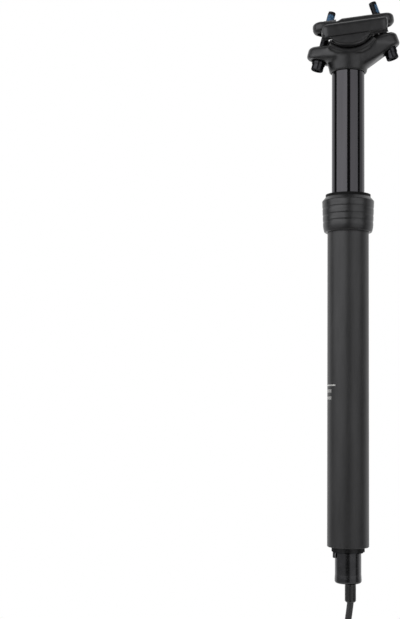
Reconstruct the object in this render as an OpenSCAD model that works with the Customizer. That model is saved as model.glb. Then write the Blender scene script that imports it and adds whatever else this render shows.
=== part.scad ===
// Dropper seatpost: a gas-sprung post with a two-bolt saddle clamp and a cable release at its foot.
// The post stands along +Z, the bicycle's front is towards -X, and the origin is on the post's axis
// where the outer tube's full-width wall starts.

/* [Outer tube] */
// Outside diameter of the outer tube, the size of the seat tube that takes it
tube_d = 30.9; // [30:0.1:34.9]
// Wall of the outer tube
tube_wall = 1.9; // [1.5:0.1:2.2]
// Length of the outer tube that shows below the collar
tube_show = 233; // [215:1:300]
// Bevel on the lower edge of the outer tube
tube_edge = 0.5; // [0.4:0.1:1.5]

/* [Stroke] */
// How far the post drops
travel = 90; // [60:1:110]
// Room left between the head and the wiper when the post is down
drop_gap = 3; // [1:0.5:6]
// Length of stanchion inside the outer tube and collar when the post is up
overlap = 132; // [125:1:150]

/* [Stanchion] */
// Wall of the stanchion
stanchion_wall = 1.7; // [1.4:0.1:2.2]
// Wall of the plain bushings that guide the stanchion
bushing_wall = 1.12; // [0.9:0.02:1.4]
// Length of the bushing at the top of the outer tube
upper_bushing_len = 26; // [16:1:40]
// Length of the bushing on the foot of the stanchion
lower_bushing_len = 16; // [10:1:20]
// Width of each guide key
key_w = 2.4; // [1.8:0.1:3.2]
// Length of each guide key
key_len = 16; // [10:1:24]

/* [Collar] */
// Length of the thread that holds the collar on the outer tube
thread_len = 19; // [15:1:24]
// Height of the seal seat above the thread
seal_seat_h = 6; // [4:0.5:9]
// Thickness of the collar's inner flange
flange_t = 1.5; // [1:0.1:2.5]
// Wall of the collar at its widest
collar_wall = 4; // [3.2:0.1:5]
// How much the collar narrows towards its lower end
collar_taper = 0.7; // [0:0.1:1.4]
// Height of the bevel at the collar's top
collar_bevel = 3; // [2:0.5:6]
// Width of each grip groove round the collar
groove_w = 1.2; // [0.6:0.1:1.6]
// Depth of each grip groove
groove_depth = 0.6; // [0.3:0.1:1]
// Height of the wiper's lip above the collar
wiper_lip = 2.5; // [1.5:0.1:4]

/* [Gas cartridge] */
// Wall of the gas cartridge
cartridge_wall = 1.45; // [1.2:0.05:2]
// Diameter of the piston rod
rod_d = 8; // [7:0.5:9]
// Diameter of the valve rod inside the piston rod
valve_d = 2.2; // [1.6:0.1:2.6]
// Height of the piston
piston_h = 8; // [6:0.5:12]
// Height of the floating piston between oil and gas
float_h = 10; // [6:0.5:14]
// Height of the sealed gland at the foot of the cartridge
gland_h = 10; // [8:0.5:14]

/* [Foot] */
// Height of the plug in the foot of the outer tube
plug_h = 12; // [9:0.5:18]
// Diameter of the boss below the plug
boss_d = 24.4; // [22.8:0.1:25]
// How far the boss stands below the outer tube's wall
boss_drop = 3.8; // [3.4:0.2:6]
// Thickness of the tab washer
tab_t = 0.8; // [0.6:0.1:1.2]
// Length of the bent tab
tab_len = 4.6; // [3:0.1:6]
// Diameter of the actuator body
actuator_d = 19.4; // [19.2:0.1:20]
// Height of the actuator body below the tab washer
actuator_h = 22.2; // [21:0.2:26]
// Wall of the actuator body
actuator_wall = 1.5; // [1.2:0.1:1.6]
// Thickness of the actuator body's floor
actuator_floor = 2.8; // [2:0.1:4]
// Diameter of the lever's pivot pin
lever_pin_d = 2.4; // [2:0.1:3]
// Thickness of the release lever
lever_t = 4; // [3.6:0.1:4.1]
// How far the lever tips to work the valve, in degrees
lever_turn = 20; // [12:1:24]

/* [Cable] */
// Outside diameter of the cable housing
housing_d = 4.9; // [4:0.1:5.2]
// Outside diameter of the ferrule
ferrule_d = 8.2; // [7.4:0.1:8.4]
// Length of the ferrule below the actuator
ferrule_len = 13; // [12:0.5:18]
// Number of flutes round the ferrule
ferrule_flutes = 12; // [6:1:16]
// Diameter of the inner wire
wire_d = 1.2; // [1:0.1:1.6]
// Length of the coupling at the end of the housing
coupling_len = 28; // [22:1:36]

/* [Head] */
// Wall of the head's neck round the stanchion
neck_wall = 1.7; // [1.1:0.05:2.4]
// Depth of the stanchion's socket in the head
socket_h = 9; // [7:0.5:10]
// Width of the head across the bicycle
head_w = 35; // [30:1:35]
// Radius of the lugs that take the bolts
lug_r = 8.4; // [7.4:0.1:9]
// Height of the front lug along its bolt
front_lug_h = 9.5; // [8:0.5:10]
// Height of the rear lug along its bolt
rear_lug_h = 10.4; // [8:0.2:11]
// Height of the saddle's tilt axis above the foot of the head
tilt_rise = 36.7; // [36:0.1:38]

/* [Saddle clamp] */
// Diameter of the saddle rails that the clamp takes
rail_d = 7; // [6.8:0.1:7.2]
// Distance between the two saddle rails
rail_gap = 43; // [42:0.5:45]
// Upward tilt of the rails towards the rear, in degrees
clamp_tilt = 7.2; // [4:0.1:9]
// Distance from the tilt axis down to the rails
rail_drop = 14; // [13.6:0.1:14.4]
// Radius of the cradle's round underside
cradle_r = 21.7; // [21:0.1:22]
// Length of the cradle along the rails
cradle_len = 33; // [30:0.5:36]
// Length of the upper clamp's grip on the rails
grip_len = 50; // [44:1:52]
// Length of the upper clamp's spine
spine_len = 62; // [57:1:64]
// Width of the spine
spine_w = 16; // [14:0.5:18]
// Thickness of the spine
spine_t = 9.7; // [9:0.1:10.5]
// How far the upper clamp sits behind the tilt axis
setback = 4.5; // [3:0.5:6]

/* [Clamp bolts] */
// Thread diameter of the clamp bolts
bolt_d = 6; // [5:0.5:6]
// Length of the bolts under their heads
bolt_len = 42; // [39:1:47]
// Height of the bolt heads
bolt_head_h = 4.8; // [4:0.2:6]
// Diameter of the bolt heads
bolt_head_d = 9.2; // [8:0.1:9.6]
// Diameter of the half-round nuts
nut_d = 9.6; // [9:0.2:10.4]
// Distance between the two nuts
nut_gap = 36; // [34:0.5:38]

/* [Clearances] */
// Gap between pieces that are fixed in each other
fit_gap = 0.05; // [0.02:0.01:0.08]
// Gap between pieces that slide or turn on each other
run_gap = 0.08; // [0.05:0.01:0.1]
// Gap between the cradle and its seat in the head
seat_gap = 0.2; // [0.15:0.05:0.3]
// Room round a bolt in its nut, which takes up the change of angle as the clamp tips
nut_play = 0.45; // [0.4:0.05:0.6]

/* [Hidden] */
$fn = 96;
eps = 0.01;

// Radii from the outside of the tube inwards
tube_r = tube_d / 2;
bore_r = tube_r - tube_wall;
stanchion_r = bore_r - fit_gap - bushing_wall - run_gap;
stanchion_in_r = stanchion_r - stanchion_wall;
cartridge_gap = 0.15;
cartridge_r = stanchion_in_r - cartridge_gap;
cartridge_in_r = cartridge_r - cartridge_wall;
rod_r = rod_d / 2;
valve_r = valve_d / 2;

// Heights from the foot of the tube upwards, with the post up
collar_z = tube_show;
tube_top = collar_z + thread_len;
thread_r = tube_r - 0.35;
seal_z = tube_top + flange_t;
collar_top = seal_z + seal_seat_h;
wiper_top = collar_top + wiper_lip;
wiper_shoulder = 0.8 * wiper_lip;
head_z = wiper_top + travel + drop_gap;
stanchion_z = wiper_top - overlap;
stanchion_top = head_z + socket_h;
tilt_z = head_z + tilt_rise;

// Collar and seals
collar_r = tube_r + collar_wall;
seal_r = tube_r + 0.7;
flange_r = stanchion_r + 0.7;
wiper_cap_r = seal_r + 0.7;
collar_foot = 2.8;
groove_at = [7.3, 12.2, 17.6];
ring_d = 1.2;
ring_room = 0.15;
ring_at = 4;

// Guide keys and their ways
key_count = 3;
key_depth = 1.2;
keyway_depth = 0.8;
key_play = 0.1;
key_lift = 4;
lower_bushing_lift = 2;
key_z = stanchion_z + lower_bushing_lift + lower_bushing_len + key_lift;
keyway_end = 6;

// Retaining rings
clip_t = 1.2;
clip_bite = 0.45;
clip_band = 1.9;
clip_mouth = 6;
split_w = 1;

// Gas cartridge
clip_lift = 1.6;
gland_flange = 3;
gland_z = stanchion_z + clip_lift + clip_t + fit_gap;
cartridge_z = gland_z + gland_flange;
bumper_t = 3;
bumper_gap = 0.3;
bumper_z = cartridge_z + gland_h;
piston_z = bumper_z + bumper_t + bumper_gap;
rod_top = piston_z + piston_h;
cap_flange = 8;
cap_plug = 10;
cap_z = stanchion_top - cap_flange;
seal_d = 2;
seal_squeeze = 0.15;
float_rest = 24;
float_z = piston_z + travel + piston_h + float_rest;

// Foot of the post
plug_z = 2;
plug_top = plug_z + plug_h;
boss_r = boss_d / 2;
actuator_r = actuator_d / 2;
actuator_top = -boss_drop - tab_t;
actuator_z = actuator_top - actuator_h;
cavity_r = actuator_r - actuator_wall;
spigot_r = actuator_r - 0.8;
spigot_h = 6.4;
tab_inset = 1.1;
tab_w = 4.4;
tab_turn = 10;
spigot_top = -boss_drop + spigot_h;
spring_room = 4.5;
spring_seat = spigot_top + spring_room;
rod_foot = spring_seat - 2;
nut_m8_af = 13;
nut_m8_h = 5;

// Release lever: the wire's end, the pivot and the nose stand in line across the actuator
wire_x = 1.5;
wire_y = -5;
pivot_y = 0.8;
nose_y = 5.3;
pivot_drop = 10.2;
pivot_z = actuator_top - pivot_drop;
lever_lean = lever_turn / 2;
wire_arm = pivot_y - wire_y;
nose_arm = nose_y - pivot_y;
nipple_z = pivot_z + wire_arm * tan(lever_lean);
nose_z = pivot_z - nose_arm * tan(lever_lean);
nipple_r = 1.45;
nipple_play = 0.2;
arm_r = 2.2;
boss_lever_r = 2.6;
nose_r = 1.5;
shank_half = 1;
nose_gap = 0.1;
plate_t = 2;
plate_gap = 0.4;
plate_z = nipple_z + arm_r + 0.6;
foot_r = 1.8;
stem_r = 1.9;
stem_top = rod_foot - 7.5;
valve_reach = piston_z + piston_h - 2;
wire_slot = 1.7;
nipple_inset = 0.5;

// Spring above the plunger
spring_wire = 0.8;
spring_r = rod_r + 1.2;
spring_turns = 7;
spring_rings = 8;
spring_sides = 6;

// Cable
housing_r = housing_d / 2;
ferrule_r = ferrule_d / 2;
ferrule_z = actuator_z - ferrule_len;
socket_deep = 9.5;
ferrule_neck_r = 2.6;
ferrule_bevel = 0.9;
flute_r = 0.5;
flute_low = 2;
wire_end = ferrule_z + socket_deep + 3;
flute_high = 1.5;
coupling_r = 4.6;
coupling_neck_r = 3.4;
coupling_neck = 5;
coupling_end_r = 3;
coupling_end = 6;
cord_sides = 10;
// The housing's route as distances below the ferrule's mouth: [x, y, z]
cord_route = [
    [1.5, -5, 9.4], [1.5, -5, 4], [1.4, -5, -1], [0.8, -4.9, -6], [0.1, -4.8, -11], [-0.7, -4.6, -17],
    [-1.6, -4.3, -24], [-2.4, -3.9, -31], [-3, -3.4, -39], [-3.4, -2.8, -47], [-3.7, -2.2, -56],
    [-3.9, -1.6, -65], [-4, -1, -75], [-4, -0.6, -86], [-4, -0.3, -97], [-4, -0.1, -108],
    [-4, 0, -118], [-4, 0, -125]
];
cord_end = cord_route[len(cord_route) - 1];

// Head: the bolts' ball seats as [x, height above the foot of the head]
front_seat = [-22.3, 7.7];
rear_seat = [31.9, 15.9];
neck_r = stanchion_r + neck_wall;
neck_edge = 0.6;
lip_r = 5;
front_lip = [-9.5, 11.9];
front_shoulder = [-15.5, 15.6];
shoulder_half = 8.2;
shoulder_r = 4;
rear_lip = [15.5, 20.8];
rim_step = 0.8;
body_top = 14;
cup_wall = 3.6;
cup_edge = 1;
cup_gap = 0.15;
cup_from = -38;
cup_to = 54;
web_r = 3.5;
web_at = [21, 13.5];
web_half = 6;
ear_half = 9;
lug_edge = 1;
front_reach = -1.6;
rear_reach = 0.6;
ball_r = 5.6;
ball_gap = 0.1;
washer_room = 1;
seat_face = 3;
front_low = 1.3;
way_len = 20;
bolt_hole_r = bolt_d / 2 + 0.9;

// Saddle clamp, measured from the tilt axis along the rails and square to them
split_gap = 0.4;
grip_out = 1;
grip_in = 0.7;
grip_t = 10.2;
grip_round = 2.5;
grip_end = 4.5;
grip_nose = 6;
grip_shift = -1.5;
spine_low = -4.75;
spine_round = 1.6;
spine_under = 3;
spine_shift = 0.5;
cradle_bevel = 0.5;
relief_deep = 2.4;
web_front = 13.5;
web_rear = 18;
web_roof = 4.2;
web_tail = 3.5;
web_tail_rise = 2.8;
nut_r = nut_d / 2;
nut_len = spine_w - 5;
nut_room = 0.3;
nut_seat_gap = 0.35;
nut_top = -0.3;
nut_axis = spine_low + spine_t;
slot_len = 12;
slot_w = bolt_d + 1.6;
front_nut_at = [setback - nut_gap / 2, nut_axis];
rear_nut_at = [setback + nut_gap / 2, nut_axis];
half_rail = rail_gap / 2;
grip_outer = half_rail + rail_d / 2 + grip_out;
grip_inner = half_rail - rail_d / 2 - grip_in;
relief_half = grip_inner - 4;
flange_at = [-1, -0.2];
flange_size = cradle_r - 0.1;
flange_in = head_w / 2 + 0.4;

// Bolts
washer_r = bolt_head_d / 2 + 0.5;
head_r = bolt_head_d / 2;
washer_foot = 1;
key_af = bolt_d * 0.8;
key_deep = 2.5;
bolt_tip = bolt_len - washer_foot;
bolt_edge = 0.5;

// A point of the clamp's own plane in the post's frame, as [x, z]
function clamp_point(p) = [
    p[0] * cos(clamp_tilt) - p[1] * sin(clamp_tilt),
    tilt_z + p[0] * sin(clamp_tilt) + p[1] * cos(clamp_tilt)
];
function seat_point(s) = [s[0], head_z + s[1]];
// Lean of a bolt from its ball seat to its nut, in degrees towards +X
function bolt_lean(s, n) = let (a = seat_point(s), b = clamp_point(n)) atan2(b[0] - a[0], b[1] - a[1]);
front_lean = bolt_lean(front_seat, front_nut_at);
rear_lean = bolt_lean(rear_seat, rear_nut_at);

anodised = [0.12, 0.12, 0.13];
gloss_black = [0.07, 0.07, 0.08];
steel = [0.62, 0.63, 0.65];
black_steel = [0.16, 0.16, 0.17];
aluminium = [0.75, 0.76, 0.78];
rubber = [0.05, 0.05, 0.05];
bronze = [0.55, 0.42, 0.25];
brass = [0.78, 0.62, 0.28];
plastic = [0.14, 0.14, 0.15];

// Shared shapes

module ring(outer, inner, height) {
    difference() {
        cylinder(r = outer, h = height);
        translate([0, 0, -1]) cylinder(r = inner, h = height + 2);
    }
}

module seal_ring(radius, section) {
    rotate_extrude() translate([radius, 0]) circle(d = section, $fn = 32);
}

// A ring with a gap, as a retaining ring or a rolled bushing has
module open_ring(outer, inner, height, gap) {
    difference() {
        ring(outer, inner, height);
        translate([0, -gap / 2, -1]) cube([outer + 1, gap, height + 2]);
    }
}

module rounded_box(size, r) {
    square_in = [size[0] - 2 * r, size[1]];
    translate([-square_in[0] / 2, -size[1] / 2]) square(square_in);
    translate([-size[0] / 2, -size[1] / 2 + r]) square([size[0], size[1] - 2 * r]);
    for (x = [-1, 1], y = [-1, 1])
        translate([x * (size[0] / 2 - r), y * (size[1] / 2 - r)]) circle(r = r, $fn = 32);
}

module in_clamp() {
    translate([0, 0, tilt_z]) rotate([0, -clamp_tilt, 0]) children();
}

module on_bolt(seat, lean) {
    at = seat_point(seat);
    translate([at[0], 0, at[1]]) rotate([0, lean, 0]) children();
}

// Closed tube swept along points, with the ring of points square to the path
function unit(v) = v / norm(v);
function path_dir(pts, i) = unit(pts[min(i + 1, len(pts) - 1)] - pts[max(i - 1, 0)]);
module swept_tube(pts, r, sides, side_dir) {
    n = len(pts);
    rings = [
        for (i = [0:n - 1])
            let (t = path_dir(pts, i), a = unit(cross(t, side_dir(i))), b = cross(t, a))
                for (k = [0:sides - 1])
                    pts[i] + r * (a * cos(360 * k / sides) + b * sin(360 * k / sides))
    ];
    walls = [
        for (i = [0:n - 2], k = [0:sides - 1])
            let (a = i * sides + k, b = i * sides + (k + 1) % sides)
                each [[a, a + sides, b], [b, a + sides, b + sides]]
    ];
    caps = [
        for (k = [1:sides - 2])
            each [[0, k, k + 1], [(n - 1) * sides, (n - 1) * sides + k + 1, (n - 1) * sides + k]]
    ];
    polyhedron(points = rings, faces = concat(walls, caps));
}

// Outer post

module outer_tube() {
    color(anodised) difference() {
        rotate_extrude() polygon([
            [bore_r, -tube_edge], [tube_r - tube_edge, -tube_edge], [tube_r, 0], [tube_r, collar_z],
            [thread_r, collar_z], [thread_r, tube_top], [bore_r, tube_top]
        ]);
        for (i = [0:key_count - 1]) rotate([0, 0, 360 * i / key_count + 90])
            translate([0, -key_w / 2 - key_play, key_z - travel - keyway_end])
                cube([bore_r + keyway_depth, key_w + 2 * key_play, travel + key_len + 2 * keyway_end]);
        translate([0, 0, plug_z - clip_t - fit_gap])
            cylinder(r = bore_r + clip_bite + fit_gap, h = clip_t + fit_gap);
    }
}

module seal_collar() {
    low_r = collar_r - collar_taper;
    bore = thread_r + fit_gap;
    color(anodised) difference() {
        rotate_extrude() polygon([
            [bore, collar_z], [low_r - collar_foot / 2, collar_z], [low_r, collar_z + collar_foot],
            [collar_r, collar_top - collar_bevel], [wiper_cap_r, collar_top], [seal_r, collar_top],
            [seal_r, seal_z], [flange_r, seal_z], [flange_r, tube_top], [bore, tube_top]
        ]);
        for (z = groove_at) translate([0, 0, collar_z + z]) grip_groove(z);
        translate([0, 0, collar_z + ring_at - ring_d / 2 - ring_room])
            cylinder(r = bore + ring_d + ring_room, h = ring_d + 2 * ring_room);
    }
}

module grip_groove(z) {
    rise = collar_top - collar_bevel - collar_z - collar_foot;
    face_r = collar_r - collar_taper * (1 - (z - collar_foot) / rise);
    ring(collar_r + 1, face_r - groove_depth, groove_w);
}

module wiper_seal() {
    lip_in = stanchion_r + run_gap;
    color(rubber) rotate_extrude() polygon([
        [lip_in, seal_z], [seal_r - fit_gap, seal_z], [seal_r - fit_gap, collar_top],
        [wiper_cap_r, collar_top], [wiper_cap_r, collar_top + wiper_shoulder],
        [lip_in + 1, wiper_top], [lip_in, wiper_top]
    ]);
}

module collar_o_ring() {
    color(rubber) translate([0, 0, collar_z + ring_at])
        seal_ring(thread_r + fit_gap + ring_d / 2, ring_d - fit_gap);
}

module upper_bushing() {
    color(bronze) translate([0, 0, tube_top - upper_bushing_len])
        open_ring(bore_r - fit_gap, stanchion_r + run_gap, upper_bushing_len, split_w);
}

module base_plug() {
    color(aluminium) difference() {
        union() {
            translate([0, 0, plug_z]) cylinder(r = bore_r - fit_gap, h = plug_h);
            translate([0, 0, -boss_drop]) cylinder(r = boss_r, h = boss_drop + plug_z);
        }
        translate([0, 0, -boss_drop - 1]) cylinder(r = spigot_r + fit_gap, h = spigot_h + 1);
        translate([0, 0, spigot_top - 1]) cylinder(r = cavity_r, h = spring_room + 1);
        cylinder(r = rod_r + fit_gap, h = plug_top + 1);
    }
}

module base_circlip() {
    color(steel) translate([0, 0, plug_z - clip_t])
        open_ring(bore_r + clip_bite, boss_r + fit_gap, clip_t - fit_gap, clip_mouth);
}

module tab_washer() {
    rim = boss_r - tab_inset;
    color(black_steel) translate([0, 0, -boss_drop - tab_t]) {
        ring(rim, spigot_r + fit_gap, tab_t);
        rotate([0, 0, tab_turn]) translate([-rim + eps, -tab_w / 2, tab_t - tab_len])
            cube([tab_t, tab_w, tab_len]);
    }
}

module actuator_body() {
    flare = 0.25;
    line_z = actuator_z + 3.4;
    color(gloss_black) difference() {
        rotate_extrude() polygon([
            [cavity_r, spigot_top], [spigot_r, spigot_top], [spigot_r, actuator_top],
            [actuator_r, actuator_top], [actuator_r, line_z + 3], [actuator_r + flare, line_z],
            [actuator_r + flare, actuator_z + 1.6], [actuator_r + flare - 0.5, actuator_z + 0.6],
            [actuator_r + flare - 1.6, actuator_z], [0, actuator_z],
            [0, actuator_z + actuator_floor], [cavity_r, actuator_z + actuator_floor]
        ]);
        translate([0, 0, line_z - 0.2]) ring(actuator_r + 1, actuator_r + flare - 0.25, 0.4);
        translate([0, pivot_y, pivot_z]) rotate([0, 90, 0])
            cylinder(d = lever_pin_d + 2 * fit_gap, h = 2 * actuator_d, center = true);
        translate([wire_x, wire_y, actuator_z - 1])
            cylinder(r = ferrule_neck_r + fit_gap, h = actuator_floor + 2);
    }
}

module lever_pin() {
    color(steel) translate([0, pivot_y, pivot_z]) rotate([0, 90, 0])
        cylinder(d = lever_pin_d, h = 2 * sqrt(pow(actuator_r, 2) - pow(pivot_y, 2)) - 1, center = true);
}

module cable_ferrule() {
    top = actuator_z + actuator_floor;
    socket_r = housing_r + fit_gap;
    color(plastic) translate([wire_x, wire_y, 0]) difference() {
        rotate_extrude() polygon([
            [wire_d / 2 + 0.5, top], [ferrule_neck_r, top], [ferrule_neck_r, actuator_z],
            [ferrule_r, actuator_z], [ferrule_r, ferrule_z + ferrule_bevel],
            [ferrule_r - ferrule_bevel, ferrule_z], [socket_r, ferrule_z],
            [socket_r, ferrule_z + socket_deep], [wire_d / 2 + 0.5, ferrule_z + socket_deep]
        ]);
        for (i = [0:ferrule_flutes - 1]) rotate([0, 0, 360 * i / ferrule_flutes])
            translate([ferrule_r + flute_r / 2, 0, ferrule_z + flute_low])
                cylinder(r = flute_r, h = ferrule_len - flute_low - flute_high, $fn = 24);
    }
}

module cable_housing() {
    color(plastic) translate([0, 0, ferrule_z])
        swept_tube(cord_route, housing_r, cord_sides, function (i) [0, 1, 0]);
}

module cable_coupling() {
    color(plastic) translate([cord_end[0], cord_end[1], ferrule_z + cord_end[2]]) rotate_extrude() polygon([
        [0, 0], [coupling_neck_r - 0.5, 0], [coupling_neck_r, -0.5], [coupling_neck_r, -coupling_neck],
        [coupling_r, -coupling_neck - 1], [coupling_r, -coupling_len + coupling_end],
        [coupling_end_r, -coupling_len + 1], [coupling_end_r - 0.5, -coupling_len],
        [wire_d, -coupling_len], [wire_d, -coupling_len + coupling_end], [0, -coupling_len + coupling_end]
    ]);
}

module piston_rod() {
    color(steel) translate([0, 0, rod_foot]) ring(rod_r, valve_r + run_gap, rod_top - rod_foot);
}

module rod_nut() {
    color(steel) translate([0, 0, plug_top]) difference() {
        cylinder(d = nut_m8_af / cos(30), h = nut_m8_h, $fn = 6);
        translate([0, 0, -1]) cylinder(r = rod_r + fit_gap, h = nut_m8_h + 2);
    }
}

// A piston with a groove round it for its seal
module grooved_piston(outer, inner, height) {
    difference() {
        cylinder(r = outer, h = height);
        if (inner > 0) translate([0, 0, -1]) cylinder(r = inner, h = height + 2);
        translate([0, 0, height / 2 - seal_d / 2]) ring(outer + 1, outer - seal_d, seal_d);
    }
}

module piston_head() {
    color(aluminium) translate([0, 0, piston_z])
        grooved_piston(cartridge_in_r - run_gap, rod_r + fit_gap, piston_h);
}

module piston_seal() {
    color(rubber) translate([0, 0, piston_z + piston_h / 2])
        seal_ring(cartridge_in_r - run_gap - seal_d / 2, seal_d - seal_squeeze);
}

// Release at the foot

module release_lever() {
    color(steel) translate([wire_x - lever_t / 2, 0, 0]) rotate([90, 0, 90]) difference() {
        linear_extrude(lever_t) difference() {
            union() {
                lever_outline(wire_y, nipple_z, arm_r);
                lever_outline(nose_y, nose_z, nose_r);
                translate([pivot_y, pivot_z]) circle(r = boss_lever_r);
            }
            translate([pivot_y, pivot_z]) circle(d = lever_pin_d + 2 * run_gap);
            translate([wire_y, nipple_z]) circle(r = nipple_r + nipple_play);
        }
        translate([wire_y - arm_r - 1, nipple_z - 2 * arm_r, lever_t / 2 - wire_slot / 2])
            cube([arm_r + 1 + wire_slot, 4 * arm_r, wire_slot]);
    }
}

// Round end of a lever arm with a straight shank to the pivot
module lever_outline(y, z, r) {
    span = [pivot_y - y, pivot_z - z];
    translate([y, z]) {
        circle(r = r);
        rotate(atan2(span[1], span[0])) translate([0, -shank_half]) square([norm(span), 2 * shank_half]);
    }
}

module release_wire() {
    color(steel) translate([wire_x, wire_y, 0]) {
        translate([0, 0, nipple_z]) rotate([0, 90, 0])
            cylinder(r = nipple_r, h = lever_t - nipple_inset, center = true);
        translate([0, 0, wire_end]) cylinder(d = wire_d, h = nipple_z - wire_end);
    }
}

module release_plunger() {
    color(aluminium) {
        translate([0, 0, plate_z]) cylinder(r = cavity_r - plate_gap, h = plate_t);
        translate([0, 0, plate_z]) cylinder(r = stem_r, h = stem_top - plate_z);
        translate([wire_x, nose_y, nose_z + nose_r + nose_gap])
            cylinder(r = foot_r, h = plate_z - nose_z - nose_r - nose_gap + eps);
    }
}

module valve_rod() {
    color(steel) translate([0, 0, stem_top]) cylinder(r = valve_r, h = valve_reach - stem_top);
}

module plunger_spring() {
    low = plate_z + plate_t + spring_wire / 2 + fit_gap;
    high = spring_seat - spring_wire / 2 - fit_gap;
    steps = spring_turns * spring_rings;
    helix = [for (i = [0:steps]) let (a = 360 * i / spring_rings)
        [spring_r * cos(a), spring_r * sin(a), low + (high - low) * i / steps]];
    gaps = [for (i = [0:steps], j = [i + spring_rings / 2:1:steps])
        norm(helix[i] - helix[j]) - spring_wire];
    echo(str("plunger_spring: least gap to itself ", min(gaps), " mm"));
    color(steel) swept_tube(helix, spring_wire / 2, spring_sides, function (i) [0, 0, 1]);
}

// Upper post

module stanchion() {
    color(gloss_black) difference() {
        translate([0, 0, stanchion_z]) ring(stanchion_r, stanchion_in_r, stanchion_top - stanchion_z);
        for (i = [0:key_count - 1]) rotate([0, 0, 360 * i / key_count + 90])
            translate([stanchion_r - key_depth - fit_gap, -key_w / 2 - fit_gap, key_z - fit_gap])
                cube([key_depth + 1, key_w + 2 * fit_gap, key_len + 2 * fit_gap]);
        translate([0, 0, stanchion_z + clip_lift])
            cylinder(r = stanchion_in_r + clip_bite + fit_gap, h = clip_t + fit_gap);
    }
}

// Lug with a bevelled rim, drawn out by reach beyond its bolt
module lug(seat, lean, low, height, reach) {
    on_bolt(seat, lean) for (x = [0, reach]) translate([x, 0, low]) {
        cylinder(r1 = lug_r - lug_edge, r2 = lug_r, h = lug_edge, $fn = 48);
        translate([0, 0, height - 2 * lug_edge])
            cylinder(r1 = lug_r, r2 = lug_r - 2 * lug_edge, h = 2 * lug_edge, $fn = 48);
    }
}

module lip_balls(at, half, r) {
    for (s = [-1, 1]) translate([at[0], s * half, head_z + at[1]]) sphere(r = r, $fn = 32);
}

module neck_disc(low, high, r) {
    translate([0, 0, head_z + low]) cylinder(r = r, h = high - low, $fn = 64);
}

// Round rim of the head, under the cradle
module cup() {
    half = min(head_w / 2, grip_inner - cup_gap);
    out_r = cradle_r + seat_gap + cup_wall;
    in_r = cradle_r - 2;
    translate([0, 0, tilt_z]) rotate([90, 0, 0]) intersection() {
        rotate_extrude($fn = 128) polygon([
            [in_r, -half], [out_r - cup_edge, -half], [out_r, -half + cup_edge],
            [out_r, half - cup_edge], [out_r - cup_edge, half], [in_r, half]
        ]);
        translate([0, 0, -head_w]) linear_extrude(2 * head_w) polygon([
            [0, 0], 2 * out_r * [sin(cup_from), -cos(cup_from)], 2 * out_r * [sin(cup_to), -cos(cup_to)]
        ]);
    }
}

module post_head() {
    color(anodised) difference() {
        union() {
            cup();
            translate([0, 0, head_z]) cylinder(r1 = neck_r - neck_edge, r2 = neck_r, h = neck_edge);
            hull() {
                neck_disc(neck_edge, 2.5, neck_r);
                neck_disc(body_top - 2, body_top, head_w / 2 - rim_step);
            }
            hull() {
                lug(front_seat, front_lean, front_low, front_lug_h, front_reach);
                lip_balls(front_lip, ear_half, lip_r);
                lip_balls(front_shoulder, shoulder_half, shoulder_r);
            }
            hull() {
                neck_disc(2.5, 3.5, neck_r - 1);
                lip_balls(web_at, web_half, web_r);
                lip_balls(rear_lip, ear_half, lip_r);
            }
            hull() {
                lug(rear_seat, rear_lean, seat_face, rear_lug_h, rear_reach);
                lip_balls(web_at, web_half, web_r);
                lip_balls(rear_lip, ear_half, lip_r);
            }
        }
        translate([0, 0, tilt_z]) rotate([90, 0, 0])
            cylinder(r = cradle_r + seat_gap, h = 2 * head_w, center = true, $fn = 128);
        translate([0, 0, head_z - 1]) cylinder(r = stanchion_r + fit_gap, h = socket_h + 1);
        bolt_way(front_seat, front_lean);
        bolt_way(rear_seat, rear_lean);
    }
}

// Hole through a lug, with the ball seat of its washer and room for the bolt's head
module bolt_way(seat, lean) {
    on_bolt(seat, lean) {
        cylinder(r = bolt_hole_r, h = seat_face + rear_lug_h + way_len);
        sphere(r = ball_r + ball_gap);
        translate([0, 0, -way_len]) cylinder(r = washer_r + washer_room, h = way_len + seat_face);
    }
}

module lower_bushing() {
    color(bronze) translate([0, 0, stanchion_z + lower_bushing_lift])
        open_ring(bore_r - run_gap, stanchion_r + fit_gap, lower_bushing_len, split_w);
}

module guide_keys() {
    color(brass) for (i = [0:key_count - 1]) rotate([0, 0, 360 * i / key_count + 90])
        translate([stanchion_r - key_depth, -key_w / 2, key_z])
            cube([bore_r + keyway_depth - key_play - stanchion_r + key_depth, key_w, key_len]);
}

module cartridge_tube() {
    color(aluminium) translate([0, 0, cartridge_z]) ring(cartridge_r, cartridge_in_r, cap_z - cartridge_z);
}

module cartridge_gland() {
    color(aluminium) difference() {
        translate([0, 0, gland_z]) union() {
            cylinder(r = cartridge_r, h = gland_flange);
            cylinder(r = cartridge_in_r - fit_gap, h = gland_flange + gland_h);
        }
        translate([0, 0, gland_z - 1]) cylinder(r = rod_r + run_gap, h = gland_flange + gland_h + 2);
        translate([0, 0, cartridge_z + gland_h / 2 - seal_d / 2]) cylinder(r = rod_r + seal_d, h = seal_d);
    }
}

module gland_seal() {
    color(rubber) translate([0, 0, cartridge_z + gland_h / 2])
        seal_ring(rod_r + run_gap + (seal_d - seal_squeeze) / 2, seal_d - seal_squeeze);
}

module cartridge_cap() {
    color(aluminium) {
        translate([0, 0, cap_z]) cylinder(r = cartridge_r, h = cap_flange);
        translate([0, 0, cap_z - cap_plug]) cylinder(r = cartridge_in_r - fit_gap, h = cap_plug + eps);
    }
}

module cartridge_circlip() {
    color(steel) translate([0, 0, stanchion_z + clip_lift])
        open_ring(stanchion_in_r + clip_bite, stanchion_in_r - clip_band, clip_t, clip_mouth);
}

module top_out_bumper() {
    color(rubber) translate([0, 0, bumper_z]) ring(cartridge_in_r - 0.4, rod_r + 0.3, bumper_t);
}

module floating_piston() {
    color(aluminium) translate([0, 0, float_z]) grooved_piston(cartridge_in_r - run_gap, 0, float_h);
}

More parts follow.
